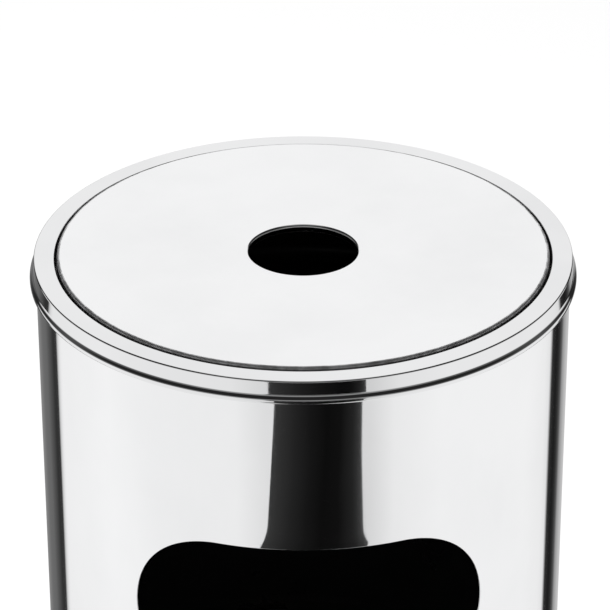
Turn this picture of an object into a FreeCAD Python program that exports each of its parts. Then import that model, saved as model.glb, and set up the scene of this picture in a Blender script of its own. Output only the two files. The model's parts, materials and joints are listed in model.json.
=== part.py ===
# Round standing bin: polished tube with a wide side opening, a rim ring, a flat lid with one drop hole,
# an ash pan hung under the lid and a lift-out litter bucket with a wire handle.
# Millimetres, +Z up, origin at the middle of the floor face, side opening facing -Y.
import FreeCAD
import Part
import math
import os
import Sketcher
from FreeCAD import Placement, Rotation, Vector

doc = FreeCAD.newDocument("standing_bin")
sheet = doc.addObject("Spreadsheet::Sheet", "dims")

driving_sizes = {
    # body tube and its side opening
    "total_height": 620,
    "punch_reach": 150,          # how far the opening's punch goes out from the centre line
    "body_radius": 125,
    "body_wall": 0.8,
    "opening_length": 171,       # along the sheet, end to end
    "opening_height": 86,
    "opening_drop": 87,          # rim plane down to the opening's upper edge
    # pressed rim ring
    "rim_inner_radius": 116.25,
    "rim_crease_radius": 125.8,
    "rim_crease_round": 0.8,
    "rim_cove_radius": 126.5,    # the face flares slightly down to the hollow curve above the lip
    "rim_cove_drop": 7,
    "rim_cove_round": 2,
    "rim_widest_radius": 127.9,
    "rim_flare_drop": 8.4,
    "rim_flare_round": 1.4,
    "rim_depth": 10.75,
    "rim_lip_round": 1.2,
    "rim_lip": 1,                # height of the rolled lip's foot against the tube
    "rim_lip_wall": 1.4,
    "rim_cove_wall": 0.6,        # how much lower the hollow curve sits on the sheet's inner face
    "rim_sheet": 0.8,
    "rim_inner_round": 0.4,
    "rim_channel": 4.5,          # tube's top edge below the rim plane
    # ring inside the tube that carries the pan and the lid
    "seat_drop": 10,
    "seat_radius": 112,
    "seat_sheet": 1,
    "seat_skirt": 24,
    # lid disc
    "lid_proud": 1.1,            # lid's top above the rim plane
    "lid_radius": 115,
    "lid_sheet": 1,
    "lid_round": 1.3,
    "hole_radius": 25.5,
    "dimple_radius": 37,
    "dimple_depth": 0.6,
    "collar_depth": 4.6,
    "collar_round": 1.2,
    # rubber pads under the lid's edge
    "pad_thickness": 1.5,
    "pad_width": 1.6,
    "pad_angle": 12,
    "pad_count": 3,
    # ash pan
    "pan_flange_radius": 115.5,
    "pan_radius": 110.6,
    "pan_depth": 50,
    "pan_sheet": 0.8,
    "pan_round": 8,
    # litter bucket
    "bucket_radius": 100,
    "bucket_wall": 0.8,
    "bucket_top": 432,
    "bucket_foot": 7,            # wall below the bucket's floor
    "bucket_bead": 1.8,
    "rim_wire_radius": 1,
    # wire handle with its grip, ears and rivets
    "bail_radius": 105.5,
    "wire_radius": 1.75,
    "wire_bend": 4,
    "wire_end": 97.6,            # inner end of the wire, from the centre line
    "wire_head_radius": 2.8,
    "wire_head_length": 1.4,
    "wire_clearance": 0.06,
    "bail_droop": 6.5,           # degrees below level where the grip lies on the bucket
    "grip_radius": 4.5,
    "grip_angle": 44,
    "ear_sheet": 1.5,
    "ear_width": 16,
    "ear_drop": 34,              # ear's lower end below the bucket's top
    "pivot_rise": 5.5,           # wire's axis above the bucket's top
    "rivet_radius": 2,
    "rivet_head_radius": 3.6,
    "rivet_tail_radius": 3.1,
    "rivet_tail_relief": 0.1,    # tail kept off the curved wall
    "rivet_head_height": 1.3,
    "rivet_first_drop": 12,
    "rivet_pitch": 14,
    "drill_start": 90,           # side holes are drilled outwards from here
    "drill_length": 20,
    # base
    "base_ring_radius": 127,
    "base_ring_inner_radius": 121.4,
    "base_ring_height": 14,
    "base_ring_lip": 9,
    "base_ring_web": 3,
    "base_ring_round": 1.2,
    "base_level": 20,
    "base_sheet": 1,
    "base_skirt": 10,
    "ballast_radius": 108,
    "ballast_thickness": 10,
    "bolt_radius": 4,
    "bolt_length": 20,
    "bolt_head_height": 5.3,
    "bolt_across_corners": 15,
    "nut_height": 6.5,
    "washer_radius": 8,
    "washer_thickness": 1.6,
}

for row, (alias, number) in enumerate(driving_sizes.items(), start=1):
    sheet.set("A%d" % row, alias.replace("_", " "))
    sheet.set("B%d" % row, str(number))
    sheet.setAlias("B%d" % row, alias)
doc.recompute()

# levels and radii that several pieces share, as expressions on the sheet
rim_plane = "(dims.total_height - dims.lid_proud)"
seat_level = "(dims.total_height - dims.lid_proud - dims.seat_drop)"
pan_flange_top = "(%s + dims.pan_sheet)" % seat_level
lid_edge = "(%s + dims.pan_sheet + dims.pad_thickness)" % seat_level
tube_inner = "(dims.body_radius - dims.body_wall)"
ballast_bottom = "(dims.base_level + dims.base_sheet)"
ballast_top = "(%s + dims.ballast_thickness)" % ballast_bottom
opening_middle = "(%s - dims.opening_drop - dims.opening_height / 2)" % rim_plane
opening_half_angle = "(180 / pi * (dims.opening_length - dims.opening_height) / 2 / dims.body_radius)"
pivot_level = "(dims.bucket_top + dims.pivot_rise)"

nodes = []


def value(expression):
    """number that an expression on the sheet stands for"""
    result = sheet.evalExpression(str(expression))
    return float(getattr(result, "Value", result))


def keep(piece, label):
    """mark a finished piece as one of the part's nodes"""
    piece.Label = label
    nodes.append(piece)
    return piece


def new_body(name):
    body = doc.addObject("PartDesign::Body", name)
    doc.recompute()
    return body


def origin_plane(body, role):
    for feature in body.Origin.OriginFeatures:
        if feature.Role == role:
            return feature
    raise ValueError(role)


def bind_place(sketch, geometry, point, across, up):
    """tie one point of a sketch to its two distances from the sketch's origin"""
    for kind, axis, expression in (("DistanceX", -2, across), ("DistanceY", -1, up)):
        number = value(expression)
        if abs(number) < 1e-9:
            sketch.addConstraint(Sketcher.Constraint("PointOnObject", geometry, point, axis))
        else:
            index = sketch.addConstraint(Sketcher.Constraint(kind, -1, 1, geometry, point, number))
            sketch.setExpression("Constraints[%d]" % index, str(expression))


def new_sketch(body, name, role, lift=None):
    sketch = body.newObject("Sketcher::SketchObject", name)
    sketch.AttachmentSupport = [(origin_plane(body, role), "")]
    sketch.MapMode = "FlatFace"
    if lift is not None:
        sketch.setExpression("AttachmentOffset.Base.z", lift)
    return sketch


def outline(body, name, role, corners):
    """closed sketch of straight lines through corners, each a pair of expressions"""
    sketch = new_sketch(body, name, role)
    points = [Vector(value(across), value(up), 0) for across, up in corners]
    count = len(points)
    for index in range(count):
        sketch.addGeometry(Part.LineSegment(points[index], points[(index + 1) % count]), False)
    for index in range(count):
        sketch.addConstraint(Sketcher.Constraint("Coincident", index, 2, (index + 1) % count, 1))
    for index, (across, up) in enumerate(corners):
        bind_place(sketch, index, 1, across, up)
    return sketch


def circle_sketch(body, name, role, across, up, radius, lift=None):
    sketch = new_sketch(body, name, role, lift)
    centre = Vector(value(across), value(up), 0)
    sketch.addGeometry(Part.Circle(centre, Vector(0, 0, 1), value(radius)), False)
    bind_place(sketch, 0, 3, across, up)
    index = sketch.addConstraint(Sketcher.Constraint("Radius", 0, value(radius)))
    sketch.setExpression("Constraints[%d]" % index, str(radius))
    return sketch


def turned(name, corners):
    """body turned about the Z axis from a closed half section of (radius, height) corners"""
    body = new_body(name)
    sketch = outline(body, name + "_section", "XZ_Plane", corners)
    feature = body.newObject("PartDesign::Revolution", name + "_turn")
    feature.Profile = sketch
    feature.ReferenceAxis = (sketch, ["V_Axis"])
    feature.Angle = 360
    body.Tip = feature
    doc.recompute()
    return body


def round_rings(body, name, rings, radius):
    """fillet the circular edges of a turned body at the given (radius, height) pairs"""
    base = body.Tip
    wanted = [(value(ring), value(level)) for ring, level in rings]
    edges = []
    for number, edge in enumerate(base.Shape.Edges, start=1):
        if not isinstance(edge.Curve, Part.Circle):
            continue
        for ring, level in wanted:
            if abs(edge.Curve.Radius - ring) < 1e-4 and abs(edge.Curve.Center.z - level) < 1e-4:
                edges.append("Edge%d" % number)
    if len(edges) != len(wanted):
        raise ValueError("%s found %d of %d edges" % (name, len(edges), len(wanted)))
    fillet = body.newObject("PartDesign::Fillet", name)
    fillet.Base = (base, edges)
    fillet.setExpression("Radius", radius)
    body.Tip = fillet
    doc.recompute()


def primitive(kind, name, sizes, level=None, rotation=None, across=None):
    """Part primitive whose sizes, and height or place along X, are expressions"""
    piece = doc.addObject(kind, name)
    for size, expression in sizes.items():
        piece.setExpression(size, str(expression))
    if rotation is not None:
        piece.Placement = Placement(Vector(), rotation)
    if level is not None:
        piece.setExpression("Placement.Base.z", str(level))
    if across is not None:
        piece.setExpression("Placement.Base.x", str(across))
    return piece


def cylinder(name, radius, length, level=None, rotation=None, across=None):
    sizes = {"Radius": radius, "Height": length}
    return primitive("Part::Cylinder", name, sizes, level, rotation, across)


def cut(name, base, tool):
    piece = doc.addObject("Part::Cut", name)
    piece.Base = base
    piece.Tool = tool
    doc.recompute()
    return piece


def joined(kind, name, shapes):
    piece = doc.addObject(kind, name)
    if kind == "Part::Compound":
        piece.Links = shapes
    else:
        piece.Shapes = shapes
    doc.recompute()
    return piece


def body_tube():
    """straight tube with a wide round-ended opening punched radially through its front"""
    length = "%s - dims.rim_channel - dims.base_ring_web" % rim_plane
    blank = cylinder("tube_outside", "dims.body_radius", length, "dims.base_ring_web")
    bore = cylinder("tube_inside", tube_inner, length, "dims.base_ring_web")
    tube = cut("tube_blank", blank, bore)

    middle_part = primitive("Part::Cylinder", "opening_middle", {
        "Radius": "dims.punch_reach",
        "Height": "dims.opening_height",
        "Angle": "2 * " + opening_half_angle,
    }, "%s - dims.opening_height / 2" % opening_middle)
    turn = -90 - value(opening_half_angle)
    middle_part.Placement = Placement(middle_part.Placement.Base, Rotation(Vector(0, 0, 1), turn))
    tools = [middle_part]
    for side in (-1, 1):
        direction = math.radians(-90 + side * value(opening_half_angle))
        outward = Vector(math.cos(direction), math.sin(direction), 0)
        tools.append(cylinder(
            "opening_end_" + side_name(side),
            "dims.opening_height / 2",
            "dims.punch_reach",
            opening_middle,
            Rotation(Vector(0, 0, 1), outward),
        ))
    punch = joined("Part::MultiFuse", "opening_punch", tools)
    keep(cut("body_tube_cut", tube, punch), "body_tube")


def rim_ring():
    """pressed ring over the tube's top edge: inner wall, flat top, steep face, hollow curve, rolled lip"""
    inner = "dims.rim_inner_radius"
    inner_wall = "(dims.rim_inner_radius + dims.rim_sheet)"
    under_top = "%s - dims.rim_sheet" % rim_plane
    foot = "%s - dims.rim_depth" % rim_plane
    crease = ("dims.rim_crease_radius", rim_plane)
    cove = ("dims.rim_cove_radius", "%s - dims.rim_cove_drop" % rim_plane)
    flare = ("dims.rim_widest_radius", "%s - dims.rim_flare_drop" % rim_plane)
    lip = ("dims.rim_widest_radius", foot)
    corners = [
        (inner, seat_level),
        (inner, rim_plane),
        crease,
        cove,
        flare,
        lip,
        ("dims.body_radius", foot),
        ("dims.body_radius", "%s + dims.rim_lip" % foot),
        ("dims.rim_widest_radius - dims.rim_lip_wall", "%s + dims.rim_lip" % foot),
        ("dims.rim_cove_radius - dims.rim_sheet", cove[1] + " - dims.rim_cove_wall"),
        ("dims.rim_crease_radius - dims.rim_sheet", under_top),
        (inner_wall, under_top),
        (inner_wall, seat_level),
    ]
    body = turned("rim_ring", corners)
    round_rings(body, "rim_cove_round", [cove], "dims.rim_cove_round")
    round_rings(body, "rim_flare_round", [flare], "dims.rim_flare_round")
    round_rings(body, "rim_lip_round", [lip], "dims.rim_lip_round")
    round_rings(body, "rim_crease_round", [crease], "dims.rim_crease_round")
    round_rings(body, "rim_inner_round", [(inner, rim_plane)], "dims.rim_inner_round")
    keep(body, "rim_ring")


def seat_ring():
    """angle-section ring welded inside the tube: its flange carries the ash pan"""
    low = "%s - dims.seat_skirt" % seat_level
    under = "%s - dims.seat_sheet" % seat_level
    wall = "%s - dims.seat_sheet" % tube_inner
    corners = [
        ("dims.seat_radius", under),
        (wall, under),
        (wall, low),
        (tube_inner, low),
        (tube_inner, seat_level),
        ("dims.seat_radius", seat_level),
    ]
    keep(turned("seat_ring", corners), "seat_ring")


def lid_disc():
    """flat disc with a turned-down edge and a dimpled, plunged drop hole"""
    top = "dims.total_height"
    inside = "dims.lid_radius - dims.lid_sheet"
    collar_end = "dims.total_height - dims.collar_depth"
    collar_out = "dims.hole_radius + dims.lid_sheet"
    hole_level = "dims.total_height - dims.dimple_depth"
    corners = [
        ("dims.hole_radius", collar_end),
        (collar_out, collar_end),
        (collar_out, "%s - dims.lid_sheet" % hole_level),
        ("dims.dimple_radius", "dims.total_height - dims.lid_sheet"),
        (inside, "dims.total_height - dims.lid_sheet"),
        (inside, lid_edge),
        ("dims.lid_radius", lid_edge),
        ("dims.lid_radius", top),
        ("dims.dimple_radius", top),
        ("dims.hole_radius", hole_level),
    ]
    body = turned("lid_disc", corners)
    round_rings(body, "lid_edge_round", [("dims.lid_radius", top)], "dims.lid_round")
    round_rings(body, "lid_hole_round", [("dims.hole_radius", hole_level)], "dims.collar_round")
    keep(body, "lid_disc")


def lid_pads():
    """short rubber arcs under the lid's edge"""
    pads = []
    for index in range(int(value("dims.pad_count"))):
        arcs = []
        for side, radius in (("outer", "dims.lid_radius"), ("inner", "dims.lid_radius - dims.pad_width")):
            arc = primitive("Part::Cylinder", "pad_%d_%s" % (index + 1, side), {
                "Radius": radius,
                "Height": "dims.pad_thickness",
                "Angle": "dims.pad_angle",
            }, pan_flange_top)
            turn = 360 * index / value("dims.pad_count") + 90 - value("dims.pad_angle") / 2
            arc.Placement = Placement(arc.Placement.Base, Rotation(Vector(0, 0, 1), turn))
            arcs.append(arc)
        pads.append(cut("pad_%d" % (index + 1), *arcs))
    keep(joined("Part::Compound", "lid_pads_group", pads), "lid_pads")


def ash_pan():
    """drawn pan whose flange hangs on the seat ring"""
    floor = "%s - dims.pan_depth" % seat_level
    inside = "dims.pan_radius - dims.pan_sheet"
    corners = [
        (0, floor),
        ("dims.pan_radius", floor),
        ("dims.pan_radius", seat_level),
        ("dims.pan_flange_radius", seat_level),
        ("dims.pan_flange_radius", pan_flange_top),
        (inside, pan_flange_top),
        (inside, "%s + dims.pan_sheet" % floor),
        (0, "%s + dims.pan_sheet" % floor),
    ]
    body = turned("ash_pan", corners)
    round_rings(body, "pan_outer_round", [("dims.pan_radius", floor)], "dims.pan_round")
    round_rings(
        body, "pan_inner_round", [(inside, "%s + dims.pan_sheet" % floor)], "dims.pan_round - dims.pan_sheet"
    )
    keep(body, "ash_pan")


def litter_bucket():
    """straight wall with an inward rolled, wired top edge, and a raised floor pressed into its foot"""
    inside = "dims.bucket_radius - dims.bucket_wall"
    top = "dims.bucket_top - dims.bucket_bead"
    wall_corners = [
        (inside, ballast_top),
        ("dims.bucket_radius", ballast_top),
        ("dims.bucket_radius", top),
        (inside, top),
    ]
    shell = turned("bucket_shell", wall_corners)
    ring_radius = "dims.bucket_radius - dims.bucket_bead"
    bead = primitive("Part::Torus", "bucket_bead", {"Radius1": ring_radius, "Radius2": "dims.bucket_bead"}, top)
    wire_sizes = {"Radius1": ring_radius, "Radius2": "dims.rim_wire_radius"}
    wire_space = primitive("Part::Torus", "bucket_wire_space", wire_sizes, top)
    rolled = joined("Part::MultiFuse", "bucket_rolled", [shell, bead])
    holes = joined("Part::Compound", "bucket_holes", rivet_bores("bucket") + [wire_space])
    keep(cut("bucket_wall_cut", rolled, holes), "bucket_wall")
    keep(primitive("Part::Torus", "rim_wire", wire_sizes, top), "bucket_rim_wire")

    flange = "%s - dims.bucket_wall" % inside
    floor = "%s + dims.bucket_foot" % ballast_top
    floor_corners = [
        (0, floor),
        (flange, floor),
        (flange, ballast_top),
        (inside, ballast_top),
        (inside, "%s + dims.bucket_wall" % floor),
        (0, "%s + dims.bucket_wall" % floor),
    ]
    keep(turned("bucket_floor", floor_corners), "bucket_floor")


def rivet_places():
    """side, number and level of each rivet, two to an ear"""
    for side in (-1, 1):
        for number in range(2):
            drop = "dims.rivet_first_drop + %d * dims.rivet_pitch" % number
            yield side, number, "dims.bucket_top - (%s)" % drop


def along_x(side):
    """turn that lays a cylinder's length along X, away from the centre line on that side"""
    return Rotation(Vector(0, 1, 0), 90 * side)


def side_name(side):
    return "left" if side < 0 else "right"


def drill(name, side, radius, level):
    """cylinder that cuts a hole along X through one side of the bucket"""
    start = "%d * dims.drill_start" % side
    return cylinder(name, radius, "dims.drill_length", level, along_x(side), start)


def rivet_bores(owner, sides=(-1, 1)):
    bores = []
    for side, number, level in rivet_places():
        if side in sides:
            name = "%s_rivet_hole_%s_%d" % (owner, side_name(side), number + 1)
            bores.append(drill(name, side, "dims.rivet_radius", level))
    return bores


def bail_ears():
    """curved plate on each side of the bucket, standing above its top, with the wire's bearing hole"""
    low = "dims.bucket_top - dims.ear_drop"
    height = "%s - (%s)" % (pivot_level, low)
    for side in (-1, 1):
        label = "bail_ear_" + side_name(side)
        rise = height + " + dims.ear_width / 2"
        outside = cylinder(label + "_outside", "dims.bucket_radius + dims.ear_sheet", rise, low)
        inside = cylinder(label + "_inside", "dims.bucket_radius", rise, low)
        curve = cut(label + "_curve", outside, inside)
        blank_sizes = {"Length": "dims.drill_length", "Width": "dims.ear_width", "Height": height}
        near_edge = "dims.drill_start" if side > 0 else "-dims.drill_start - dims.drill_length"
        blank = primitive("Part::Box", label + "_width", blank_sizes, low, None, near_edge)
        blank.setExpression("Placement.Base.y", "-dims.ear_width / 2")
        eye = drill(label + "_eye", side, "dims.ear_width / 2", pivot_level)
        outlined = joined("Part::MultiFuse", label + "_outline", [blank, eye])
        plate = joined("Part::MultiCommon", label + "_plate", [curve, outlined])
        bearing = drill(label + "_bearing", side, "dims.wire_radius + dims.wire_clearance", pivot_level)
        bores = joined("Part::Compound", label + "_bores", [bearing] + rivet_bores(label, (side,)))
        keep(cut(label + "_cut", plate, bores), label)


def ear_rivets():
    """round-headed rivets through the ears and the bucket's wall"""
    rivets = []
    inside = "(dims.bucket_radius - dims.bucket_wall - dims.rivet_head_height)"
    outside = "(dims.bucket_radius + dims.ear_sheet)"
    grip_length = "dims.bucket_wall + dims.ear_sheet + 2 * dims.rivet_head_height"
    shapes = (
        ("shank", "dims.rivet_radius", grip_length, inside),
        ("tail", "dims.rivet_tail_radius", "dims.rivet_head_height - dims.rivet_tail_relief", inside),
        ("head", "dims.rivet_head_radius", "dims.rivet_head_height", outside),
    )
    for side, number, level in rivet_places():
        name = "rivet_%s_%d" % (side_name(side), number + 1)
        solids = [
            cylinder("%s_%s" % (name, word), radius, length, level, along_x(side), "%d * %s" % (side, start))
            for word, radius, length, start in shapes
        ]
        rivets.append(joined("Part::MultiFuse", name, solids))
    keep(joined("Part::Compound", "ear_rivets_group", rivets), "ear_rivets")


def bail_path(body):
    """level half circle of wire whose two ends bend in towards the ears"""
    radius = value("dims.bail_radius")
    bend = value("dims.wire_bend")
    bend_centre = math.sqrt((radius - bend) ** 2 - bend ** 2)
    join_angle = math.atan2(bend, bend_centre)
    end = value("dims.wire_end")
    sketch = new_sketch(body, "bail_path", "XY_Plane")
    up = Vector(0, 0, 1)
    pieces = [
        Part.LineSegment(Vector(end, 0, 0), Vector(bend_centre, 0, 0)),
        Part.ArcOfCircle(
            Part.Circle(Vector(bend_centre, bend, 0), up, bend), -math.pi / 2, join_angle
        ),
        Part.ArcOfCircle(Part.Circle(Vector(), up, radius), join_angle, math.pi - join_angle),
        Part.ArcOfCircle(
            Part.Circle(Vector(-bend_centre, bend, 0), up, bend), math.pi - join_angle, math.pi * 3 / 2
        ),
        Part.LineSegment(Vector(-bend_centre, 0, 0), Vector(-end, 0, 0)),
    ]
    for piece in pieces:
        sketch.addGeometry(piece, False)
    add = sketch.addConstraint
    for first, second, first_end, second_start in ((0, 1, 2, 1), (1, 2, 2, 1), (2, 3, 2, 1), (3, 4, 2, 1)):
        add(Sketcher.Constraint("Tangent", first, first_end, second, second_start))
    add(Sketcher.Constraint("Coincident", 2, 3, -1, 1))
    add(Sketcher.Constraint("PointOnObject", 0, 1, -1))
    add(Sketcher.Constraint("PointOnObject", 0, 2, -1))
    add(Sketcher.Constraint("PointOnObject", 4, 1, -1))
    add(Sketcher.Constraint("PointOnObject", 4, 2, -1))
    add(Sketcher.Constraint("Equal", 1, 3))
    for kind, geometry, size in (("Radius", 2, "dims.bail_radius"), ("Radius", 1, "dims.wire_bend")):
        sketch.setExpression("Constraints[%d]" % add(Sketcher.Constraint(kind, geometry, value(size))), size)
    right = add(Sketcher.Constraint("DistanceX", -1, 1, 0, 1, end))
    left = add(Sketcher.Constraint("DistanceX", 4, 2, -1, 1, end))
    for index in (right, left):
        sketch.setExpression("Constraints[%d]" % index, "dims.wire_end")
    doc.recompute()
    return sketch


def hang(piece):
    """lay a level handle piece in its ears, drooping against the bucket's back"""
    droop = Rotation(Vector(1, 0, 0), -value("dims.bail_droop"))
    piece.Placement = Placement(Vector(0, 0, value(pivot_level)), droop)


def bucket_bail():
    """round wire handle with an upset head on each end"""
    body = new_body("bucket_bail")
    path = bail_path(body)
    section = circle_sketch(body, "bail_section", "YZ_Plane", 0, 0, "dims.wire_radius", "dims.wire_end")
    doc.recompute()
    pipe = body.newObject("PartDesign::AdditivePipe", "bail_wire")
    pipe.Profile = section
    pipe.Spine = (path, ["Edge%d" % (index + 1) for index in range(5)])
    pipe.Mode = "Frenet"
    body.Tip = pipe
    doc.recompute()
    for side, name in ((1, "head_right"), (-1, "head_left")):
        place = "dims.wire_end" if side > 0 else "-dims.wire_end"
        head = circle_sketch(body, name + "_section", "YZ_Plane", 0, 0, "dims.wire_head_radius", place)
        pad = body.newObject("PartDesign::Pad", name)
        pad.Profile = head
        pad.setExpression("Length", "dims.wire_head_length")
        pad.Reversed = side > 0
        body.Tip = pad
        doc.recompute()
    hang(body)
    keep(body, "bucket_bail")


def bail_grip():
    """plastic tube round the middle of the wire"""
    sizes = {
        "Radius1": "dims.bail_radius",
        "Radius2": "dims.grip_radius",
        "Angle3": "dims.grip_angle",
    }
    outside = primitive("Part::Torus", "grip_outside", sizes)
    inside = primitive("Part::Torus", "grip_inside", dict(sizes, Radius2="dims.wire_radius"))
    for piece in (outside, inside):
        piece.Placement = Placement(Vector(), Rotation(Vector(0, 0, 1), 90 - value("dims.grip_angle") / 2))
    grip = cut("bail_grip_cut", outside, inside)
    hang(grip)
    keep(grip, "bail_grip")


def base_ring():
    """plastic channel pushed over the tube's lower edge: the part stands on it"""
    web = "dims.base_ring_web"
    corners = [
        ("dims.base_ring_inner_radius", 0),
        ("dims.base_ring_radius", 0),
        ("dims.base_ring_radius", "dims.base_ring_height"),
        ("dims.body_radius", "dims.base_ring_height"),
        ("dims.body_radius", web),
        (tube_inner, web),
        (tube_inner, "dims.base_ring_lip"),
        ("dims.base_ring_inner_radius", "dims.base_ring_lip"),
    ]
    body = turned("base_ring", corners)
    rings = [("dims.base_ring_radius", 0), ("dims.base_ring_radius", "dims.base_ring_height")]
    round_rings(body, "base_ring_round", rings, "dims.base_ring_round")
    keep(body, "base_ring")


def base_plate():
    """floor of the tube: a disc with a turned-down edge and a bolt hole"""
    top = ballast_bottom
    low = "%s - dims.base_skirt" % top
    inside = "%s - dims.base_sheet" % tube_inner
    corners = [
        ("dims.bolt_radius", "dims.base_level"),
        (inside, "dims.base_level"),
        (inside, low),
        (tube_inner, low),
        (tube_inner, top),
        ("dims.bolt_radius", top),
    ]
    keep(turned("base_plate", corners), "base_plate")


def ballast():
    """steel weight with the bolt, washer and nut that hold it to the base plate"""
    corners = [
        ("dims.bolt_radius", ballast_bottom),
        ("dims.ballast_radius", ballast_bottom),
        ("dims.ballast_radius", ballast_top),
        ("dims.bolt_radius", ballast_top),
    ]
    keep(turned("ballast_disc", corners), "ballast_disc")

    washer_level = "(dims.base_level - dims.washer_thickness)"
    nut_level = "(%s - dims.nut_height)" % washer_level
    bolt_low = "%s - dims.bolt_length" % ballast_top
    shank = cylinder("bolt_shank", "dims.bolt_radius", "dims.bolt_length", bolt_low)
    head = primitive("Part::Prism", "bolt_head", {
        "Circumradius": "dims.bolt_across_corners / 2",
        "Height": "dims.bolt_head_height",
    }, ballast_top)
    keep(joined("Part::MultiFuse", "ballast_bolt_fuse", [shank, head]), "ballast_bolt")

    bore = cylinder("fastener_bore", "dims.bolt_radius", "dims.base_level")
    washer = cylinder("washer_disc", "dims.washer_radius", "dims.washer_thickness", washer_level)
    keep(cut("ballast_washer_cut", washer, bore), "ballast_washer")
    nut = primitive("Part::Prism", "nut_blank", {
        "Circumradius": "dims.bolt_across_corners / 2",
        "Height": "dims.nut_height",
    }, nut_level)
    keep(cut("ballast_nut_cut", nut, bore), "ballast_nut")


def check_and_write():
    """stop on any failed object, then write one STEP file per piece"""
    doc.recompute()
    for thing in doc.Objects:
        if "Invalid" in thing.State or "Error" in thing.State:
            raise RuntimeError("%s: %s" % (thing.Name, thing.State))
    os.makedirs("parts", exist_ok=True)
    for piece in nodes:
        shape = piece.Shape
        if shape.isNull() or not shape.isValid() or not shape.Solids:
            raise RuntimeError("bad shape: " + piece.Label)
        shape.exportStep("parts/%s.step" % piece.Label)
        box = shape.BoundBox
        print("%-16s solids %d  volume %9.0f  z %7.2f..%7.2f  r %7.2f" % (
            piece.Label, len(shape.Solids), shape.Volume, box.ZMin, box.ZMax, max(box.XMax, box.YMax)
        ))


body_tube()
rim_ring()
seat_ring()
lid_disc()
lid_pads()
ash_pan()
litter_bucket()
bail_ears()
ear_rivets()
bucket_bail()
bail_grip()
base_ring()
base_plate()
ballast()
check_and_write()
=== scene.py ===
import json
import math
import bpy
import bmesh
from mathutils import Matrix, Vector


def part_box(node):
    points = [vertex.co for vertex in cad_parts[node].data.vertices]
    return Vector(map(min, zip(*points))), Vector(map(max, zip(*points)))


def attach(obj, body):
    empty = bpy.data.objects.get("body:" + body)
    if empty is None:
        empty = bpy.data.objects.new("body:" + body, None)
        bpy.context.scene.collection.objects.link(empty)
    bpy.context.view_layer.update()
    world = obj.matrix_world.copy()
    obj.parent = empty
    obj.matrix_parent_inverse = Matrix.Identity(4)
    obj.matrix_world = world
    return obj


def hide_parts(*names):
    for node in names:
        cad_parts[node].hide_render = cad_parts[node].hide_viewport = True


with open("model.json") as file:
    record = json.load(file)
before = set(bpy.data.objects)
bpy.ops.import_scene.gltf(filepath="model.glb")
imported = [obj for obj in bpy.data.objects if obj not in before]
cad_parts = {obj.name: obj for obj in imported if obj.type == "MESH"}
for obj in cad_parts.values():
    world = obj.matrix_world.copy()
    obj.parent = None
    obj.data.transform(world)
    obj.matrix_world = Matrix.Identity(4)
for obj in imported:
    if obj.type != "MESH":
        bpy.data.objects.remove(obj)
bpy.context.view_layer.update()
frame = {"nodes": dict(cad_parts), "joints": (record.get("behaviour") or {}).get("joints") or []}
mm = 0.001   # sizes below are in millimetres
print("frame loaded:", len(frame["nodes"]), "nodes")


def low(node, axis=2):
    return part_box(node)[0][axis] / mm


def high(node, axis=2):
    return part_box(node)[1][axis] / mm


# helpers for node trees

def addNode(tree, kind, settings=None, inputs=None):
    node = tree.nodes.new(kind)
    for key, value in (settings or {}).items():
        setattr(node, key, value)
    for key, value in (inputs or {}).items():
        if isinstance(value, bpy.types.NodeSocket):
            tree.links.new(value, node.inputs[key])
        else:
            node.inputs[key].default_value = value
    return node


def mathNode(tree, operation, first, second=0.0):
    return addNode(tree, "ShaderNodeMath", {"operation": operation}, {0: first, 1: second}).outputs[0]


def rangeNode(tree, value, fromLow, fromHigh, toLow, toHigh, shape="SMOOTHSTEP"):
    inputs = {"Value": value, "From Min": fromLow, "From Max": fromHigh, "To Min": toLow, "To Max": toHigh}
    return addNode(tree, "ShaderNodeMapRange", {"interpolation_type": shape}, inputs).outputs["Result"]


def rampNode(tree, value, stops):
    node = addNode(tree, "ShaderNodeValToRGB", {}, {"Fac": value})
    elements = node.color_ramp.elements
    for index, (place, shade) in enumerate(stops):
        stop = elements[index] if index < 2 else elements.new(place)
        stop.position = place
        colour = (shade, shade, shade) if isinstance(shade, float) else shade
        stop.color = (*colour, 1)
    return node.outputs["Color"]


def mixShade(tree, factor, first, second):
    node = addNode(tree, "ShaderNodeMix", {"data_type": "RGBA"}, {"Factor": factor})
    for socket, value in ((node.inputs["A"], first), (node.inputs["B"], second)):
        if isinstance(value, bpy.types.NodeSocket):
            tree.links.new(value, socket)
        else:
            socket.default_value = (value, value, value, 1)
    return node.outputs["Result"]


# material with its fixed numbers set on the shader's own sockets
def newMaterial(name, fixed):
    material = bpy.data.materials.new(name)
    material.use_nodes = True
    shader = material.node_tree.nodes["Principled BSDF"]
    for socket, value in fixed.items():
        shader.inputs[socket].default_value = value
    return material, material.node_tree, shader


# noise in object space, stretched along the grain
def surfaceNoise(tree, stretch, scale, detail=4.0, roughness=0.55):
    place = addNode(tree, "ShaderNodeTexCoord").outputs["Object"]
    mapped = addNode(tree, "ShaderNodeMapping", {}, {"Vector": place, "Scale": stretch}).outputs["Vector"]
    inputs = {"Vector": mapped, "Scale": scale, "Detail": detail, "Roughness": roughness}
    return addNode(tree, "ShaderNodeTexNoise", {}, inputs).outputs["Fac"]


def addBump(tree, shader, height, strength, distance):
    inputs = {"Height": height, "Strength": strength, "Distance": distance}
    bump = addNode(tree, "ShaderNodeBump", {}, inputs)
    tree.links.new(bump.outputs["Normal"], shader.inputs["Normal"])


steelValues = {
    "bright": (0.86, 0.862, 0.868),    # colour where the polish is clean
    "dull": (0.80, 0.803, 0.81),       # colour in the faint smears
    "roughLow": 0.018,
    "roughHigh": 0.05,
    "grain": (900.0, 900.0, 3.0),      # polishing lines run up the tube
    "waviness": 0.10,
}


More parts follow.
